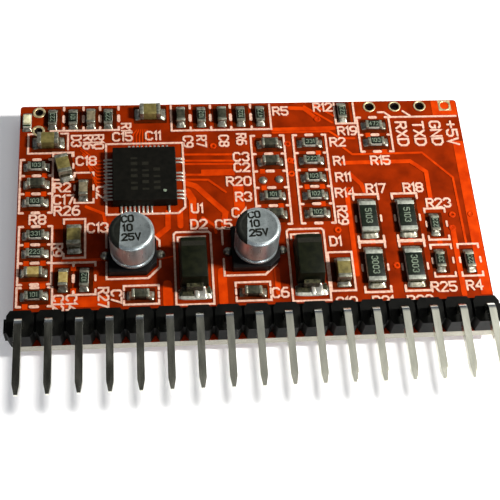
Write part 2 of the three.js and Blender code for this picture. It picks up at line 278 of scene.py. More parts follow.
def lathe(profile, steps=48):
    """A closed body turned about Z: profile is (radius, z) from the axis round to the axis, or a closed ring."""
    vertices, faces, rings = [], [], []
    for radius, z in profile:
        if radius < 1e-6:
            rings.append([len(vertices)])
            vertices.append((0, 0, z))
        else:
            rings.append(list(range(len(vertices), len(vertices) + steps)))
            vertices += [(radius * math.cos(2 * math.pi * k / steps), radius * math.sin(2 * math.pi * k / steps), z)
                         for k in range(steps)]
    closed = profile[0][0] > 1e-6
    pairs = list(zip(rings, rings[1:])) + ([(rings[-1], rings[0])] if closed else [])
    for low, high in pairs:
        for k in range(steps):
            n = (k + 1) % steps
            if len(low) == 1:
                faces.append([low[0], high[n], high[k]])
            elif len(high) == 1:
                faces.append([low[k], low[n], high[0]])
            else:
                faces.append([low[k], low[n], high[n], high[k]])
    return vertices, faces


def slab(outline, bottom, top):
    """A flat plate with a convex outline."""
    n = len(outline)
    vertices = [(x, y, bottom) for x, y in outline] + [(x, y, top) for x, y in outline]
    faces = [list(range(n - 1, -1, -1)), list(range(n, 2 * n))]
    faces += [[k, (k + 1) % n, n + (k + 1) % n, n + k] for k in range(n)]
    return vertices, faces


def rounded_outline(width, depth, radius, steps=4):
    """A rectangle's outline about the origin with rounded corners."""
    points = []
    for corner, (sx, sy) in enumerate([(1, 1), (-1, 1), (-1, -1), (1, -1)]):
        cx, cy = sx * (width / 2 - radius), sy * (depth / 2 - radius)
        for k in range(steps + 1):
            angle = math.pi / 2 * (corner + k / steps)
            points.append((cx + radius * math.cos(angle), cy + radius * math.sin(angle)))
    return points


ribbon_count = 0


def ribbon(points, width, top, bottom=0.0, closed=False, caps=4):
    """A printed line of constant width along points, mitred at its corners and round at its ends."""
    global ribbon_count
    ribbon_count += 1
    top += RIBBON_STEP * (ribbon_count % RIBBON_STEPS)
    path = [Vector(p) for p in points]
    if closed and (path[0] - path[-1]).length < 1e-6:
        path.pop()
    n, half = len(path), width / 2
    lefts, rights = [], []
    for k, here in enumerate(path):
        before = path[k - 1] if k > 0 or closed else None
        after = path[(k + 1) % n] if k < n - 1 or closed else None
        way_in = (here - before).normalized() if before is not None else (after - here).normalized()
        way_out = (after - here).normalized() if after is not None else way_in
        mitre = Vector((-(way_in.y + way_out.y), way_in.x + way_out.x))
        if mitre.length < 1e-3:
            mitre = Vector((-way_in.y, way_in.x))
        mitre.normalize()
        reach = half / max(0.45, mitre.dot(Vector((-way_in.y, way_in.x))))
        lefts.append(here + mitre * reach)
        rights.append(here - mitre * reach)
    vertices, faces = [], []

    def column(point):
        vertices.append((point.x, point.y, bottom))
        vertices.append((point.x, point.y, top))
        return len(vertices) - 2

    left = [column(p) for p in lefts]
    right = [column(p) for p in rights]
    for k in range(n if closed else n - 1):
        m = (k + 1) % n
        a, b, c, d = left[k], left[m], right[k], right[m]
        faces += [[a + 1, c + 1, d + 1, b + 1], [a, b, d, c], [a, a + 1, b + 1, b], [c, d, d + 1, c + 1]]
    if not closed:
        for end, (first, last) in ((0, (left[0], right[0])), (n - 1, (right[-1], left[-1]))):
            centre = path[end]
            arm = Vector(vertices[first][:2]) - centre
            arc = [first]
            for s in range(1, caps):
                angle = math.pi * s / caps
                arc.append(column(centre + Matrix.Rotation(angle, 2) @ arm))
            arc.append(last)
            faces += [[i + 1 for i in arc], list(reversed(arc))]
            faces += [[arc[s], arc[s] + 1, arc[s + 1] + 1, arc[s + 1]] for s in range(caps)]
    return vertices, faces


# Strokes of each letter on a grid 4 wide and 6 high.
GLYPHS = {
    "0": [[(1, 0), (3, 0), (4, 1), (4, 5), (3, 6), (1, 6), (0, 5), (0, 1), (1, 0)]],
    "1": [[(0, 5), (1, 6), (1, 0)]],
    "2": [[(0, 5), (1, 6), (3, 6), (4, 5), (4, 4), (0, 0), (4, 0)]],
    "3": [[(0, 5), (1, 6), (3, 6), (4, 5), (4, 4), (3, 3), (4, 2), (4, 1), (3, 0), (1, 0), (0, 1)]],
    "4": [[(3, 0), (3, 6), (0, 2)], [(0, 2), (4, 2)]],
    "5": [[(4, 6), (0, 6), (0, 3.5), (3, 3.5), (4, 2.5), (4, 1), (3, 0), (1, 0), (0, 1)]],
    "6": [[(3.5, 6), (1.5, 6), (0, 4), (0, 1), (1, 0), (3, 0), (4, 1), (4, 2.5), (3, 3.5)],
          [(3, 3.5), (0, 3.5)]],
    "7": [[(0, 6), (4, 6), (1.5, 0)]],
    "8": [[(1, 3.2), (0, 4), (0, 5), (1, 6), (3, 6), (4, 5), (4, 4), (3, 3.2), (1, 3.2)],
          [(1, 3.2), (0, 2), (0, 1), (1, 0), (3, 0), (4, 1), (4, 2), (3, 3.2)]],
    "9": [[(0.5, 0), (2.5, 0), (4, 2), (4, 5), (3, 6), (1, 6), (0, 5), (0, 3.5), (1, 2.5)],
          [(1, 2.5), (4, 2.5)]],
    "R": [[(0, 0), (0, 6), (3, 6), (4, 5), (4, 4), (3, 3)], [(3, 3), (0, 3)], [(2, 3), (4, 0)]],
    "C": [[(4, 5), (3, 6), (1, 6), (0, 5), (0, 1), (1, 0), (3, 0), (4, 1)]],
    "D": [[(0, 0), (0, 6), (2.5, 6), (4, 4.5), (4, 1.5), (2.5, 0), (0, 0)]],
    "U": [[(0, 6), (0, 1), (1, 0), (3, 0), (4, 1), (4, 6)]],
    "T": [[(0, 6), (4, 6)], [(2, 6), (2, 0)]],
    "X": [[(0, 0), (4, 6)], [(0, 6), (4, 0)]],
    "G": [[(4, 5), (3, 6), (1, 6), (0, 5), (0, 1), (1, 0), (3, 0), (4, 1), (4, 3), (2.5, 3)]],
    "N": [[(0, 0), (0, 6), (4, 0), (4, 6)]],
    "V": [[(0, 6), (2, 0), (4, 6)]],
    "+": [[(0, 3), (4, 3)], [(2, 1), (2, 5)]],
}


def write(solid, text, x, y, height, stroke, bottom, top, finish, turn=0, spacing=1.55, narrow=1.0):
    """Text in the stroke font, centred on x, y."""
    unit = height / 6
    wide = unit * narrow
    widths = [1 if letter == "1" else 4 for letter in text]
    start = -(sum(widths) + spacing * (len(text) - 1)) * wide / 2
    for letter, width in zip(text, widths):
        for line in GLYPHS[letter]:
            points = [(start + px * wide, (py - 3) * unit) for px, py in line]
            closed = len(points) > 3 and points[0] == points[-1]
            solid.add(ribbon(points, stroke, top, bottom, closed), finish, (x, y, 0), turn)
        start += (width + spacing) * wide


def shell(grid, offset):
    """The faces of a closed sheet: a grid of upper vertices, and its lower copy offset further on."""
    faces = []
    for low, high in zip(grid, grid[1:]):
        for k in range(len(low) - 1):
            a, b, c, d = low[k], high[k], high[k + 1], low[k + 1]
            faces += [[a, b, c, d], [offset + d, offset + c, offset + b, offset + a]]
    rim = [row[0] for row in grid] + grid[-1][1:] + [row[-1] for row in grid[-2::-1]] + grid[0][-2:0:-1]
    for here, there in zip(rim, rim[1:] + rim[:1]):
        faces.append([here, offset + here, offset + there, there])
    return faces


def fillet(reach, width, height, flare=0.06, columns=7, rows=9):
    """A solder fillet that runs down from a terminal at x = 0 to its pad's end at x = reach."""
    vertices = []
    for i in range(columns):
        u = i / (columns - 1)
        half = width / 2 + flare * min(1, 3 * u)
        for j in range(rows):
            w = 2 * j / (rows - 1) - 1
            round_off = 1 - 0.12 * (abs(w) ** 4) * u
            z = LAYER["pad"] + height * (1 - u) ** 1.7 * math.sqrt(max(0, 1 - abs(w) ** 5))
            vertices.append((reach * u * round_off, half * w, z))
    offset = len(vertices)
    vertices += [(x, y, 0) for x, y, z in vertices]
    return vertices, shell([[i * rows + j for j in range(rows)] for i in range(columns)], offset)


# ---------------------------------------------------------------- small parts

# Length, width, height and the terminals' length of each size of chip part.
SIZES = {
    "large": (3.2, 1.6, 0.6, 0.45),
    "medium": (2.0, 1.25, 1.1, 0.42),
    "resistor": (1.6, 0.8, 0.48, 0.3),
    "capacitor": (1.6, 0.82, 0.72, 0.32),
}
clearance = Solid("mask_clearance", "solder_mask_board")
TERMINAL_LAP = 0.07  # how far a fillet starts inside its terminal
VALUE_CODES = ["103", "472", "102", "331", "223", "101"]


def chip_part(name, size, x, y, turn, finish=GLAZE, code="", node=None, reach=0.42):
    """A surface-mount resistor or capacitor with its wrapped terminals and solder fillets."""
    length, width, height, cap = SIZES[size]
    resistor = finish is GLAZE
    if node is None:
        turn += random.uniform(-2.0, 2.0)
    body = Solid(name, "chip_resistor" if resistor else "chip_ceramic")
    lift = LAYER["pad"] + 0.01
    centre = (x, y, 0)
    if resistor:
        body.add(rounded_box((length - 0.12, width, height - 0.12), 0.03, 2, lift=lift), ALUMINA, centre, turn, True)
        glaze = rounded_box((length - 2 * cap + 0.06, width - 0.04, 0.09), 0.035, 2, lift=height - 0.09)
        body.add(glaze, GLAZE, centre, turn, True)
        if code:
            tall = 0.54 if size == "large" else 0.4
            write(body, code, x, y, tall, tall * 0.15, height - 0.02, height + 0.006, CODE, turn, 2.3, 0.84)
    else:
        block = rounded_box((length - 0.1, width - 0.03, height - lift - 0.02), 0.06, 3, lift=lift)
        body.add(block, finish, centre, turn, True)
    body.build(*([node] if node else []))
    window = rounded_outline(length + 2 * reach + 0.2, width + 0.8, 0.15)
    clearance.add(slab(window, 0.0, LAYER["bare"]), BARE, centre, turn)
    ends = Solid(name + "_terminals", "tinned_metal")
    big = size in ("large", "medium")
    for side in (0, 180):
        way = Matrix.Rotation(math.radians(turn + side), 2)
        seat = way @ Vector((length / 2 - cap / 2, 0))
        tall = height - lift + (0.005 if resistor else 0.0)
        radius = 0.05 if resistor else 0.085
        ends.add(rounded_box((cap, width + 0.02, tall), radius, 3, lift=lift), PALE_TIN if size == "large" else TIN,
                 (x + seat.x, y + seat.y, 0), turn + side, True)
        foot = way @ Vector((length / 2 - TERMINAL_LAP, 0))
        foot_place = (x + foot.x, y + foot.y, 0)
        climb = height * random.uniform(0.62, 0.8)
        foot_turn = turn + side + random.uniform(-3, 3)
        if big:
            ends.add(fillet(reach * 0.62, width * 0.9, climb, 0.03), STAIN_AND_SHADE, foot_place, foot_turn, True)
            climb *= 0.5
        ends.add(fillet(reach + TERMINAL_LAP, width * 0.96, climb), SOLDER, foot_place, foot_turn, True)
    ends.build()


LARGE = [(11.25, 6.65, "3003"), (11.25, 11.85, "5103"), (14.9, 6.65, "3003"), (14.9, 11.85, "5103")]
for number, (x, y, code) in enumerate(LARGE, 1):
    chip_part(f"large_resistor_{number}_detail", "large", x, y, -90, code=code,
              node=f"large_resistor_{number}", reach=0.55)
MEDIUM = [(-18.45, 21.05, 0), (-8.75, 24.2, 0), (-17.0, 18.15, 104), (-15.95, 10.45, 90), (8.25, 6.25, 90)]
for number, (x, y, turn) in enumerate(MEDIUM, 1):
    chip_part(f"medium_capacitor_{number}_detail", "medium", x, y, turn, OLIVE,
              node=f"medium_capacitor_{number}", reach=0.5)


def row(group, kinds, places, turn, finishes=None):
    """A row or column of small parts that stand for CAD nodes; a dash leaves a place empty."""
    for number, (kind, (x, y)) in enumerate(zip(kinds, places), 1):
        if kind == "-":
            continue
        word = "resistor" if kind == "R" else "capacitor"
        finish = (finishes or {}).get(number, GLAZE if kind == "R" else DARK)
        code = random.choice(VALUE_CODES) if kind == "R" else ""
        chip_part(f"{word}_{group}_{number}_detail", word, x, y, turn, finish, code, f"{word}_{group}_{number}")


row("rear_left", "RRCR", [(x, 23.75) for x in (-18.1, -16.15, -14.45, -12.8)], 90, {3: TAN})
row("rear_middle", "CRCRR", [(x, 23.8) for x in (-5.8, -3.8, -1.8, 0.05, 1.95)], 90)
row("column_a", "CR-CC", [(2.5, 12.5), (2.5, 14.53), (2.5, 16.4), (2.58, 18.4), (2.62, 20.4)], 0)
row("column_b", "RRRRR", [(6.55, 12.5 + 1.98 * k) for k in range(5)], 0)
row("port_pair", "RR", [(13.05, 20.4 + 1.97 * k) for k in range(2)], 0)

# Small parts too many for the CAD: R is a resistor, the others are capacitors by colour.
EXTRA = [
    ("R", 10.08, 24.0, 90), ("R", 17.48, 11.0, 90), ("R", 17.41, 7.15, 90), ("R", 20.17, 7.06, 90),
    ("K", -10.08, 4.52, 0), ("K", -0.05, 4.48, 0), ("R", -19.5, 18.34, 0), ("K", -19.48, 16.4, 0),
    ("R", -19.55, 14.41, 0), ("R", -19.42, 10.93, 0), ("R", -19.42, 9.05, 0), ("Y", -19.5, 7.07, 0),
    ("R", -19.42, 4.76, 0), ("T", -15.16, 15.66, 90), ("Y", -16.89, 6.29, 90), ("R", -15.04, 6.29, 90),
]
for number, (kind, x, y, turn) in enumerate(EXTRA, 1):
    finish = {"R": GLAZE, "K": DARK, "Y": YELLOW, "T": TAN}[kind]
    code = random.choice(VALUE_CODES) if kind == "R" else ""
    chip_part(f"small_part_{number:02d}", "resistor" if kind == "R" else "capacitor", x, y, turn, finish, code)

LED_X, LED_Y = -20.5, 23.5
led = Solid("indicator_led_detail", "led_lens")
led.add(rounded_box((0.8, 1.5, 0.3), 0.04, 2, lift=0.05), ALUMINA, (LED_X, LED_Y, 0), 0, True)
led.add(rounded_box((0.78, 1.0, 0.42), 0.1, 3, 0.05, lift=0.3), LENS, (LED_X, LED_Y + 0.05, 0), 0, True)
led.add(rounded_box((0.7, 0.18, 0.06), 0.02, 1, lift=0.33), GREEN, (LED_X, LED_Y - 0.57, 0), 0, True)
for side in (90, -90):
    led.add(fillet(0.36, 0.78, 0.22), SOLDER, (LED_X, LED_Y + math.copysign(0.72, side), 0), side, True)
led.build("indicator_led")

# ---------------------------------------------------------------- controller chip

CHIP_X, CHIP_Y, CHIP_TOP = -9.45, 16.75, 1.14
DOT = [(0.0, 1.14), (0.16, 1.14), (0.16, 1.153), (0.13, 1.157), (0.0, 1.156)]
MARK_BARS = [(0.5, 0.3, 0.5, 0.4, 0.5, 0.3), (0.3, 0.5, 0.5, 0.3, 0.5), (0.5, 0.4, 0.3, 0.5)]
chip = Solid("controller_chip_body", "epoxy")
chip.add(rounded_box((6.0, 6.0, 1.05), 0.05, 2, 0.08, lift=0.1), EPOXY, (CHIP_X, CHIP_Y, 0))
chip.add(lathe(DOT, 28), CODE, (CHIP_X + 1.85, CHIP_Y - 1.95, 0), 0, True)
for column, bars in enumerate(MARK_BARS):
    y = CHIP_Y - 1.9
    for bar in bars:
        chip.add(slab(rounded_outline(0.62, bar * 0.7, 0.05), CHIP_TOP, CHIP_TOP + 0.014), MARK,
                 (CHIP_X - 0.95 + 1.05 * column, y + bar / 2, 0))
        y += 0.68
chip.build("controller_chip")

LEADS_PER_SIDE, LEAD_PITCH = 12, 0.4
NO_LEAD = {0: (3, 4, 8, 9), 90: (10, 11), 180: (), 270: (8, 9, 10)}
leads = Solid("controller_chip_leads", "tinned_metal")
for side, missing in NO_LEAD.items():
    way = Matrix.Rotation(math.radians(side), 2)
    for k in range(LEADS_PER_SIDE):
        if k in missing:
            continue
        along = (k - (LEADS_PER_SIDE - 1) / 2) * LEAD_PITCH
        for shape, out in ((rounded_box((0.7, 0.18, 0.12), 0.03, 2, lift=0.04), 3.22),
                           (fillet(0.42, 0.2, 0.14, 0.01, 5, 5), 3.42)):
            spot = way @ Vector((out, along))
            leads.add(shape, LEAD_AND_HIGHLIGHT, (CHIP_X + spot.x, CHIP_Y + spot.y, 0), side, True)
leads.build()

# ---------------------------------------------------------------- capacitor cans

CAN_PROFILE = [
    (0.0, 0.9), (1.78, 0.9), (1.93, 0.93), (1.99, 1.02), (2.0, 1.12), (1.99, 1.22), (1.93, 1.3), (1.86, 1.36),
    (1.84, 1.43), (1.86, 1.5), (1.94, 1.58), (1.985, 1.68), (2.0, 1.8), (2.0, 2.6), (2.0, 3.4), (2.0, 4.14),
    (1.985, 4.26), (1.94, 4.36), (1.86, 4.44), (1.76, 4.49), (1.66, 4.5), (1.58, 4.488), (1.5, 4.47), (0.0, 4.47),
]
CAN_TEXT = [("C0", -0.32, 1.16, 1.7), ("10", -0.32, 0.25, 2.4), ("25V", -0.02, -0.66, 1.7)]
INK_PROFILE = [(1.0, 4.478), (1.5, 4.478), (1.58, 4.496), (1.66, 4.507), (1.76, 4.498), (1.866, 4.446), (1.947, 4.363),
               (1.992, 4.261), (2.006, 4.14)]


def ink_segment(chord, steps=24):
    """A thin shell of ink over the can's top and rim, on the side where x is below -chord."""
    vertices, rows = [], []
    for radius, z in INK_PROFILE:
        sweep = math.acos(min(1, chord / radius))
        rows.append([])
        for k in range(steps + 1):
            angle = math.pi + sweep * (2 * k / steps - 1)
            rows[-1].append(len(vertices))
            vertices.append((radius * math.cos(angle), radius * math.sin(angle), z))
    offset = len(vertices)
    vertices += [(x * 0.985, y * 0.985, z - 0.02) for x, y, z in vertices]
    return vertices, shell(rows, offset)


FOOT_DOME = [
    (0.0, 0.0), (0.46, 0.0), (0.46, 0.04), (0.43, 0.12), (0.36, 0.24), (0.24, 0.34), (0.1, 0.385), (0.0, 0.39),
]
for word, (x, y) in {"left": (-10.7, 8.7), "right": (0.42, 8.8)}.items():
    can = Solid(f"capacitor_can_{word}_sleeve", "can_aluminium")
    can.add(lathe(CAN_PROFILE, 64), CAN, (x, y, 0), 0, True)
    can.build(f"capacitor_can_{word}")
    print_on_can = Solid(f"capacitor_can_{word}_print", "can_aluminium")
    print_on_can.add(ink_segment(0.98), INK, (x, y, 0), -4)
    for text, across, along, gap in CAN_TEXT:
        write(print_on_can, text, x + across, y + along, 0.62, 0.17, 4.45, 4.482, INK, 3, gap, 0.98)
    print_on_can.build()
    feet = Solid(f"capacitor_feet_{word}", "tinned_metal")
    for side, step in ((0, 2.3), (180, -2.3)):
        feet.add(rounded_box((0.5, 0.6, 0.14), 0.03, 2, lift=0.04), TIN, (x + step, y, 0), side, True)
        feet.add(lathe(FOOT_DOME, 24), SOLDER, (x + step * 1.08, y - 0.05, 0), side, True)
    feet.build()

# ---------------------------------------------------------------- painted shade in the header's notches

# A black plastic slab fills the rear of the notches between the header's blocks. It is a dark piece put in as painted
# shade, where the notches lie in shade.
notch_shade = Solid("pin_strip_notch_shade", "black_plastic")
notch_shade.add(slab([(-20.9, 1.7), (20.9, 1.7), (20.9, 2.49), (-20.9, 2.49)], 0.0, 1.62), BLACK)
notch_shade.build()

# ---------------------------------------------------------------- diodes

for word, (x, y) in {"left": (-5.28, 7.2), "right": (5.18, 7.2)}.items():
    body = Solid(f"diode_body_{word}_moulding", "epoxy")
    body.add(rounded_box((2.6, 4.3, 1.87), 0.09, 3, 0.16, lift=0.28), DIODE, (x, y, 0), 0, True)
    body.add(slab(rounded_outline(2.14, 0.5, 0.06), 2.14, 2.153), MARK, (x, y + 1.35, 0))
    body.build(f"diode_body_{word}")
    solder = Solid(f"diode_solder_{word}", "tinned_metal")
    # Painted light in each diode's front solder: the pad and the two lumps in the bright lead finish are a painted
    # highlight. The dark stained lump left of the lead is the lead's shadow, painted in.
    solder.add(fillet(0.7, 1.9, 0.36), SOLDER, (x, y + 2.42, 0), 90, True)
    solder.add(fillet(1.05, 2.9, 0.26, 0.04, 9, 13), LEAD_AND_HIGHLIGHT, (x + 0.05, y - 2.2, 0), -90, True)
    solder.add(fillet(0.82, 1.35, 0.7, 0.12, 9, 11), STAIN_AND_SHADE, (x - 0.62, y - 2.22, 0), -93, True)
    solder.add(fillet(0.9, 0.3, 0.78, 0.14, 9, 7), LEAD_AND_HIGHLIGHT, (x + 0.08, y - 2.3, 0), -74, True)
    solder.add(fillet(0.95, 0.62, 0.66, 0.16, 9, 9), LEAD_AND_HIGHLIGHT, (x + 0.72, y - 2.25, 0), -96, True)
    solder.add(fillet(0.7, 0.4, 0.5, 0.12, 9, 7), STAIN_AND_SHADE, (x + 1.25, y - 2.2, 0), -84, True)
    solder.build()

# ---------------------------------------------------------------- copper, rings and solder on the board

copper = Solid("masked_copper_tracks", "solder_mask_board")
THICK = [
    [(9.58, 18.12), (16.12, 18.16), (17.53, 16.9), (17.51, 13.97)],
    [(10.08, 16.86), (11.08, 15.65), (11.28, 14.85)],
    [(4.97, 24.72), (6.37, 24.63), (7.58, 23.32)],
    [(3.06, 22.17), (9.08, 22.22)],
]
THIN = [
    [(6.4, 24.9), (9.0, 22.9)], [(7.3, 25.1), (9.35, 23.6)],
    [(3.06, 21.8), (8.6, 21.86), (9.6, 21.0), (11.0, 20.95)],
    [(9.78, 19.89), (10.59, 19.09), (17.44, 19.13), (20.05, 16.2), (20.16, 9.03)],
    [(-5.6, 19.45), (-0.95, 19.36)], [(-5.6, 18.74), (-0.95, 18.64)], [(-5.6, 18.36), (-0.95, 18.26)],
    [(-5.6, 17.15), (-4.0, 17.12)], [(-5.6, 16.6), (-3.5, 16.54), (-1.91, 15.14)],
]
BROAD = [
    ([(-5.6, 16.22), (-4.7, 15.88), (-2.05, 12.9), (-2.3, 11.6)], 0.55),
    ([(-5.5, 15.3), (-5.05, 14.4), (-5.1, 11.9)], 0.7),
    ([(-7.4, 13.1), (-7.42, 11.44), (-8.46, 10.54)], 0.5), ([(-6.27, 13.1), (-6.28, 11.6)], 0.55),
    ([(-8.3, 8.15), (-7.1, 8.42)], 0.14), ([(-4.2, 12.4), (-3.1, 11.5), (-3.05, 10.8)], 0.3),
    ([(-14.9, 13.9), (-13.3, 13.1), (-13.1, 11.9)], 0.3), ([(-17.0, 8.3), (-13.2, 8.3)], 0.3),
]
for points, wide in BROAD:
    copper.add(ribbon(points, wide, LAYER["trace"] - 0.01), TRACE)
for k in range(6):
    copper.add(ribbon([(-10.45 + 0.3 * k, 20.1), (-10.45 + 0.3 * k, 21.9 - 0.1 * k), (-10.1 + 0.2 * k, 22.4)], 0.12,
                      LAYER["trace"]), TRACE)
for points in THICK:
    copper.add(ribbon(points, 0.42, LAYER["trace"]), TRACE)
for points in THIN:
    copper.add(ribbon(points, 0.22, LAYER["trace"]), TRACE)
VERTICAL = [(-7.67, 3.6, 5.6, 0.85), (-2.73, 3.6, 6.7, 0.8), (2.24, 4.4, 6.8, 0.5), (9.57, 6.0, 14.84, 0.45),
            (19.14, 3.6, 10.54, 0.5)]
for x, low, high, wide in VERTICAL:
    copper.add(ribbon([(x, low), (x, high)], wide, LAYER["trace"]), TRACE)
for k in range(8):
    copper.add(ribbon([(-15.6 + 0.17 * k, 20.6 - 0.45 * k), (-13.9, 18.9 - 0.4 * k), (-12.9, 18.9 - 0.4 * k)], 0.13,
                      LAYER["trace"]), TRACE)
PATCHES = [
    (20.7, 3.6, 21.72, 20.4), (19.2, 23.55, 21.7, 25.3), (-1.2, 12.6, -0.2, 16.0), (-4.1, 17.0, -0.92, 17.7),
    (-17.9, 3.6, -13.0, 4.6),
]
PATCHES += [(x - 0.24, y - 0.26, x + 0.24, y + 0.26) for x, y in [
    (1.75, 15.5), (3.2, 13.5), (1.75, 17.36), (7.3, 19.35), (5.85, 15.52), (7.3, 15.52), (7.2, 13.6), (-18.75, 17.4),
    (-20.25, 15.4), (-18.8, 15.4), (-20.2, 10.0), (-20.2, 8.1), (-18.7, 8.1), (-18.7, 5.8), (-20.2, 3.8), (12.4, 21.32),
    (13.8, 19.35), (11.4, 9.35), (15.0, 9.35), (17.7, 9.1), (-16.0, 7.5), (-16.0, 5.2),
]]
for x0, y0, x1, y1 in PATCHES:
    copper.add(slab([(x0, y0), (x1, y0), (x1, y1), (x0, y1)], 0.0, LAYER["trace"] - 0.004), TRACE)
VIAS = [(-2.83, 20.37), (4.37, 20.46), (4.47, 18.54), (4.76, 18.45), (4.47, 17.03), (7.58, 23.32), (9.78, 15.04),
        (8.27, 10.71), (13.32, 6.81), (19.11, 10.64), (19.32, 12.06), (21.14, 12.06)]
VIA_RING = [(0.12, 0.0), (0.33, 0.0), (0.34, 0.045), (0.29, 0.065), (0.18, 0.06), (0.12, 0.03)]
for x, y in VIAS:
    copper.add(lathe(VIA_RING, 20), TRACE, (x, y, 0), 0, True)
copper.build()
clearance.build()

rings = Solid("plated_rings", "tinned_metal")


def ring(x, y, hole, outer):
    """A plated hole: a pad on each face and the dark barrel between them."""
    under = -BOARD_THICKNESS
    for z, outward in ((0.001, 1), (under - 0.001, -1)):
        profile = [(hole, z), (outer, z), (outer, z + 0.04 * outward), (outer - 0.05, z + 0.06 * outward),
                   (hole + 0.05, z + 0.06 * outward), (hole, z + 0.03 * outward)]
        rings.add(lathe(profile, 32), GOLD, (x, y, 0), 0, True)
    barrel = [(hole - 0.06, under), (hole - 0.001, under), (hole - 0.001, 0.0), (hole - 0.06, 0.0)]
    rings.add(lathe(barrel, 32), HOLE, (x, y, 0), 0, True)


def square_pad(x, y, hole, side):
    """A square pad round a plated hole, as a plate of four mitred bars, on the top face."""
    half = (side / 2 + hole - 0.02) / 2
    outline = [(x - half, y - half), (x + half, y - half), (x + half, y + half), (x - half, y + half)]
    rings.add(ribbon(outline, side / 2 - hole + 0.02, LAYER["pad"], 0.001, True), GOLD)


header_places = [(k - (HEADER_PINS - 1) / 2) * PITCH for k in range(HEADER_PINS)]
square_pad(PORT_X + PITCH * (PORT_HOLES - 1), PORT_Y, 0.45, 1.24)
for k in range(PORT_HOLES):
    ring(PORT_X + PITCH * k, PORT_Y, 0.45, 0.62)
for x, y in ((-19.42, 24.65), (-19.45, 22.5)):
    ring(x, y, 0.375, 0.62)
for x in header_places:
    ring(x, HEADER_Y, 0.5, 0.8)
rings.build()

JOINT_PROFILE = [
    (0.3, -1.0), (0.78, -1.03), (0.8, -1.06), (0.62, -1.16), (0.5, -1.34), (0.43, -1.6), (0.39, -1.75), (0.3, -1.75),
]
joints = Solid("pin_solder_joints", "tinned_metal")
for x in header_places:
    joints.add(lathe(JOINT_PROFILE, 28), SOLDER, (x, HEADER_Y, 0), 0, True)
joints.build()

domes = Solid("empty_pad_solder", "tinned_metal")
DOME = [(0.0, 0.0), (0.42, 0.0), (0.42, 0.04), (0.36, 0.12), (0.24, 0.18), (0.1, 0.205), (0.0, 0.21)]
for x, y in [(1.72, 16.36), (3.27, 16.42)]:
    domes.add(lathe(DOME, 24), SOLDER, (x, y, 0), 0, True)
domes.build()

# ---------------------------------------------------------------- silkscreen

silk = Solid("silkscreen_print", "solder_mask_board")
LINE = 0.19


def line(*points, width=LINE, closed=False):
    """A printed line through points."""
    silk.add(ribbon(points, width, LAYER["silk"], 0.0, closed), SILK)


def broken(start, end, stub=0.34, dash=0.8):
    """A separator that stops short of the pads: a stub at each end and a thick dash in the middle."""
    start, end = Vector(start), Vector(end)
    along = (end - start).normalized()
    middle = (start + end) / 2
    line(start, start + along * stub, width=0.23)
    line(end - along * stub, end, width=0.23)
    line(middle - along * (dash / 2 - 0.1), middle + along * (dash / 2 - 0.1), width=0.3)


def column_frame(x0, x1, heights):
    """Two upright lines with broken separators between them."""
    line((x0, heights[0]), (x0, heights[-1]))
    line((x1, heights[0]), (x1, heights[-1]))
    for y in heights:
        broken((x0, y), (x1, y))


def bracket_frame(x0, y0, x1, y1, leg=0.4, bar=0.5):
    """Brackets round the two ends of a part, with a short bar at the middle of each side."""
    line((x0, y1 - leg), (x0, y1), (x1, y1), (x1, y1 - leg))
    line((x0, y0 + leg), (x0, y0), (x1, y0), (x1, y0 + leg))
    for x in (x0, x1):
        line((x, (y0 + y1 - bar) / 2), (x, (y0 + y1 + bar) / 2))


column_frame(-21.0, -18.0, (13.35, 15.4, 17.4, 19.2))
column_frame(-20.93, -17.95, (5.95, 8.1, 10.0, 11.9))
column_frame(-20.95, -17.85, (3.77, 5.65))
column_frame(0.87, 4.07, (11.5, 13.5, 15.5, 17.36, 19.33, 21.45))
column_frame(4.97, 8.17, (11.5, 13.6, 15.52, 17.39, 19.35, 21.45))
line((-18.3, 22.45), (-11.8, 22.45))
for x in (-17.04, -15.17, -13.58, -11.8):
    broken((x, 22.45), (x, 25.2))
line((-6.72, 25.2), (-6.72, 22.23), (2.96, 22.23), (2.96, 25.2))
for x in (-4.88, -2.89, -0.94, 1.06):
    broken((x, 22.23), (x, 25.2))
line((9.39, 25.2), (9.39, 22.73), (11.3, 22.73), (11.3, 25.2))
column_frame(11.5, 14.68, (19.35, 21.32, 23.4))
line((14.68, 23.4), (21.5, 23.4))
line((13.7, 24.0), (14.3, 24.0), (14.85, 23.5))
line((16.2, 24.1), (16.9, 23.5))
for x0, x1 in ((10.12, 12.5), (13.83, 16.2)):
    line((x0, 13.95), (x0, 14.5), (x1, 14.5), (x1, 13.95), width=0.22)
    line((x0, 4.7), (x0, 4.15), (x1, 4.15), (x1, 4.7), width=0.22)
    line((x0, 9.35), (x1, 9.35), width=0.32)
    for x in (x0, x1):
        line((x, 8.75), (x, 9.95), width=0.22)
        for y in (6.65, 11.85):
            line((x, y - 0.3), (x, y + 0.3))
bracket_frame(16.73, 9.38, 18.66, 12.76)
bracket_frame(16.73, 5.51, 18.66, 8.83)
bracket_frame(19.29, 5.51, 21.22, 8.84)
bracket_frame(-11.55, 3.68, -8.46, 5.53)
bracket_frame(-1.58, 3.68, 1.54, 5.53)
bracket_frame(-15.97, 14.32, -14.22, 17.63)
line((-17.95, 8.05), (-14.05, 8.05), (-14.05, 7.7))
line((-16.0, 4.81), (-14.05, 4.81), (-14.05, 5.3))
line((-14.05, 6.2), (-14.05, 6.7))
broken((-16.0, 4.81), (-16.0, 8.05))
bracket_frame(-18.0, 16.9, -16.1, 19.93)
line((-16.9, 12.1), (-16.9, 12.58), (-14.97, 12.58), (-14.97, 8.54), (-16.9, 8.54), (-16.9, 9.0))
line((7.07, 8.35), (9.27, 8.35), (9.27, 4.39), (7.07, 4.39), (7.07, 8.35), closed=True)
line((-19.9, 22.13), (-20.36, 22.13), (-20.36, 19.9), (-16.2, 19.9), (-16.2, 19.5))
line((-17.3, 22.13), (-16.63, 22.13), (-16.63, 20.3))
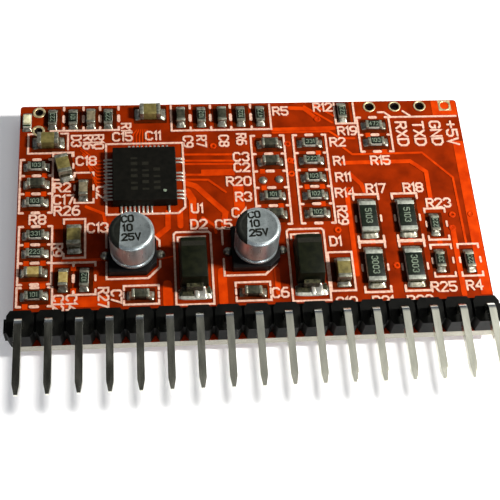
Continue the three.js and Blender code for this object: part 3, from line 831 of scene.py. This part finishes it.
for x0, x1 in ((-6.94, -3.57), (3.48, 6.92)):
    line((x0, 3.49), (x1, 3.49), (x1, 10.7), (x1 - 0.2, 10.9), (x0 + 0.2, 10.9), (x0, 10.7), (x0, 3.49), closed=True)
    line((x0 + 0.35, 9.9), (x0 + 0.35, 10.35), (x1 - 0.5, 10.4))
line((-13.03, 12.95), (-6.4, 12.95), (-5.75, 13.6), (-5.75, 20.8), (-13.03, 20.8), (-13.03, 12.95), closed=True)
for x in (-12.66, -2.1):
    line((x, 6.27), (x + 3.3, 6.27), (x + 4.4, 7.37), (x + 4.4, 8.0))
    line((x, 6.27), (x - 0.4, 6.27), (x - 0.4, 8.0))
    line((x - 0.4, 9.5), (x - 0.4, 11.2), (x + 3.3, 11.2), (x + 4.4, 10.1), (x + 4.4, 9.5))

LABELS = [
    ("C15", -11.46, 21.64, 0), ("C11", -8.54, 21.69, 0), ("D3", -15.85, 21.25, -90), ("R16", -14.72, 21.1, -90),
    ("R10", -13.72, 21.1, -90), ("C2", -13.5, 15.4, -90), ("R1", -11.1, 22.75, -90), ("C9", -5.2, 20.92, -90),
    ("R7", -3.9, 20.95, -90), ("C8", -1.75, 20.95, -90), ("R6", -0.05, 21.1, -90), ("C18", -14.9, 18.95, 0),
    ("R2", -17.1, 16.05, 0),
    ("C17", -16.95, 14.7, 0), ("R26", -16.65, 13.5, 0), ("R8", -19.3, 12.62, 0), ("C13", -13.85, 11.6, 0),
    ("R9", -17.45, 9.4, -90), ("R27", -13.35, 4.45, -90), ("C7", -12.2, 4.5, -90), ("C12", -17.3, 4.0, -90),
    ("C14", -16.15, 4.0, -90), ("C6", 2.4, 4.4, 0), ("D2", -4.58, 11.7, 0), ("U1", -4.68, 13.42, 0),
    ("C5", -2.3, 11.62, 0), ("R20", -0.6, 16.3, 0), ("C3", -0.2, 19.05, 0), ("C2", -0.2, 17.85, 0),
    ("R3", -0.26, 14.58, 0), ("C4", -0.7, 12.85, 0), ("R5", 4.0, 24.35, 0), ("R12", 8.25, 24.74, 0),
    ("R19", 10.4, 21.86, 0), ("R2", 9.3, 20.55, 0), ("R1", 9.2, 18.37, 0), ("R11", 9.4, 16.5, 0),
    ("R14", 9.4, 14.75, 0), ("R29", 8.9, 12.27, -90), ("D1", 7.92, 9.52, 0),
    ("R17", 12.4, 15.15, 0), ("R18", 16.0, 15.15, 0), ("R15", 13.25, 18.33, 0), ("R23", 18.2, 13.37, 0),
    ("R25", 17.37, 4.48, 0), ("R4", 20.22, 4.53, 0), ("C10", 8.3, 3.24, 0), ("R21", 11.6, 3.22, 0),
    ("R22", 15.0, 3.18, 0),
]
PORT_LABELS = [("RXD", 15.8), ("TXD", 17.52), ("GND", 19.2), ("+5V", 20.8)]
INK_HEIGHT = LAYER["silk"] + 0.006
for text, x, y, turn in LABELS:
    tall, narrow = (0.92, 0.98) if turn == 0 else (0.86, 0.9)
    write(silk, text, x, y, tall, 0.18, 0.0, INK_HEIGHT, SILK, turn, spacing=1.5, narrow=narrow)
for text, x in PORT_LABELS:
    write(silk, text, x, 21.38, 1.0, 0.2, 0.0, INK_HEIGHT, SILK, -90, spacing=1.5, narrow=1.1)
silk.build()

# ---------------------------------------------------------------- CAD nodes that stay


def dress(name, finish, radius, segments=2):
    """A CAD node keeps its mesh and gets a finish, with its edges rounded by modifiers."""
    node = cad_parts[name]
    node.data.materials.clear()
    node.data.materials.append(finish.material)
    if radius:
        weld = node.modifiers.new("weld", "WELD")
        weld.merge_threshold = 1e-6
        bevel = node.modifiers.new("rounded_edges", "BEVEL")
        bevel.width = radius * MM
        bevel.segments = segments
        bevel.limit_method = "ANGLE"
        bevel.angle_limit = math.radians(35)


dress("pin_strip", BLACK, 0.05)
for k in range(1, HEADER_PINS + 1):
    dress(f"header_pin_{k:02d}", PIN, 0.11, 3)
for word in ("left", "right"):
    dress(f"capacitor_base_{word}", BASE, 0.05)
    for end in ("rear", "front"):
        dress(f"diode_lead_{end}_{word}", STAIN_AND_SHADE if end == "front" else TIN, 0.03)
dress("board", MASK, 0)

# The board's edges and hole walls show bare laminate: only faces that look up or down are masked.
laminate = MASK.ramp(MASK.noise(0.12, 4), [(0.3, rgb(152, 149, 136)), (0.7, rgb(190, 185, 171))])
geometry = MASK.node("ShaderNodeNewGeometry")
split = MASK.node("ShaderNodeSeparateXYZ")
MASK.link(geometry.outputs["True Normal"], split.inputs["Vector"])
upright = MASK.node("ShaderNodeMath")
upright.operation = "ABSOLUTE"
MASK.link(split.outputs["Z"], upright.inputs[0])
MASK.blend(upright.outputs["Value"], laminate, MASK.colour)

# ---------------------------------------------------------------- floor, light and camera

FLOOR_REACH = 1.2
# The floor glows, which is painted light: the glow lifts the piece's cast shadow near it and brightens the floor far
# off.
GLOW_FROM, GLOW_TO = 0.1, 0.45  # distances in metres over which the floor's own glow rises
GLOW_NEAR, GLOW_FAR = 0.22, 0.75
mesh = bpy.data.meshes.new("floor")
corners = [(-FLOOR_REACH, -FLOOR_REACH, 0), (FLOOR_REACH, -FLOOR_REACH, 0), (FLOOR_REACH, FLOOR_REACH, 0),
           (-FLOOR_REACH, FLOOR_REACH, 0)]
mesh.from_pydata(corners, [], [[0, 1, 2, 3]])
floor = bpy.data.objects.new("floor", mesh)
bpy.context.scene.collection.objects.link(floor)
PAPER = Finish("pale_floor", rgb(243, 243, 244), rgb(246, 246, 247), (0.8, 0.9), patch=40, grain=2, bump=0.02)
mesh.materials.append(PAPER.material)
spread = PAPER.node("ShaderNodeVectorMath")
spread.operation = "LENGTH"
PAPER.link(PAPER.place, spread.inputs[0])
glow = PAPER.node("ShaderNodeMapRange")
glow.inputs["From Min"].default_value = GLOW_FROM
glow.inputs["From Max"].default_value = GLOW_TO
glow.inputs["To Min"].default_value = GLOW_NEAR
glow.inputs["To Max"].default_value = GLOW_FAR
PAPER.link(spread.outputs["Value"], glow.inputs["Value"])
PAPER.shader.inputs["Emission Color"].default_value = rgb(246, 246, 247)
PAPER.link(glow.outputs["Result"], PAPER.shader.inputs["Emission Strength"])

world = bpy.data.worlds.new("studio")
bpy.context.scene.world = world
world.use_nodes = True
sky = world.node_tree
direction = sky.nodes.new("ShaderNodeTexCoord")
parts = sky.nodes.new("ShaderNodeSeparateXYZ")
sky.links.new(direction.outputs["Generated"], parts.inputs["Vector"])


def sky_span(source, low, high):
    """0 up to low, 1 from high, and even between."""
    node = sky.nodes.new("ShaderNodeMapRange")
    node.inputs["From Min"].default_value = low
    node.inputs["From Max"].default_value = high
    sky.links.new(source, node.inputs["Value"])
    return node.outputs["Result"]


# A soft panel overhead, dark on the left and light on the right, over a dim room.
SKY_STOPS = [(0.0, 0.02), (0.25, 0.035), (0.36, 0.07), (0.46, 0.34), (0.6, 0.46), (0.8, 0.56), (1.0, 0.8)]
ROOM = (0.12, 0.135, 0.175, 1)
overhead = sky.nodes.new("ShaderNodeValToRGB")
while len(overhead.color_ramp.elements) < len(SKY_STOPS):
    overhead.color_ramp.elements.new(0.5)
for element, (position, level) in zip(overhead.color_ramp.elements, SKY_STOPS):
    element.position, element.color = position, (level, level, level * 0.96, 1)
sky.links.new(sky_span(parts.outputs["X"], -0.08, 0.3), overhead.inputs["Fac"])
panel = sky.nodes.new("ShaderNodeMath")
panel.operation = "MULTIPLY"
sky.links.new(sky_span(parts.outputs["Z"], 0.5, 0.75), panel.inputs[0])
sky.links.new(sky_span(parts.outputs["Y"], -0.35, -0.15), panel.inputs[1])
mix = sky.nodes.new("ShaderNodeMix")
mix.data_type = "RGBA"
mix.inputs["A"].default_value = ROOM
sky.links.new(panel.outputs["Value"], mix.inputs["Factor"])
sky.links.new(overhead.outputs["Color"], mix.inputs["B"])
sky.links.new(mix.outputs["Result"], sky.nodes["Background"].inputs["Color"])


# Name, offset from the lights' target in metres, size, power and colour.
LIGHTS = [
    ("key", (0.13, -0.02, 0.127), 0.021, 0.61, (1.0, 0.975, 0.94)),
    ("front", (0.1, -0.2, 0.08), 0.07, 0.2, (0.96, 0.98, 1.0)),
]
target = at(0, 10, 0)
for name, offset, size, power, colour in LIGHTS:
    data = bpy.data.lights.new(name, "AREA")
    data.size, data.energy, data.color = size, power, colour
    light = bpy.data.objects.new(name, data)
    light.location = target + Vector(offset)
    light.rotation_euler = (-Vector(offset)).to_track_quat("-Z", "Y").to_euler()
    bpy.context.scene.collection.objects.link(light)

# Solved from the pitch of the pins and holes in the photograph, in board millimetres.
CAMERA_PLACE, CAMERA_TARGET = (-9.177, -39.709, 88.005), (-0.04, 8.862, 0)
CAMERA_UP = (0.0281, 0.8739, 0.4852)
FOCAL_LENGTH, SENSOR_WIDTH, NEAREST = 79.54, 36, 0.005
camera_data = bpy.data.cameras.new("camera")
camera_data.lens = FOCAL_LENGTH
camera_data.sensor_width = SENSOR_WIDTH
camera_data.clip_start = NEAREST
camera = bpy.data.objects.new("camera", camera_data)
back = (Vector(CAMERA_PLACE) - Vector(CAMERA_TARGET)).normalized()
right = Vector(CAMERA_UP).cross(back).normalized()
facing = Matrix((right, back.cross(right), back)).transposed().to_4x4()
camera.matrix_world = Matrix.Translation(at(*CAMERA_PLACE)) @ facing
bpy.context.scene.collection.objects.link(camera)
bpy.context.scene.camera = camera
bpy.context.scene.view_settings.view_transform = "Standard"
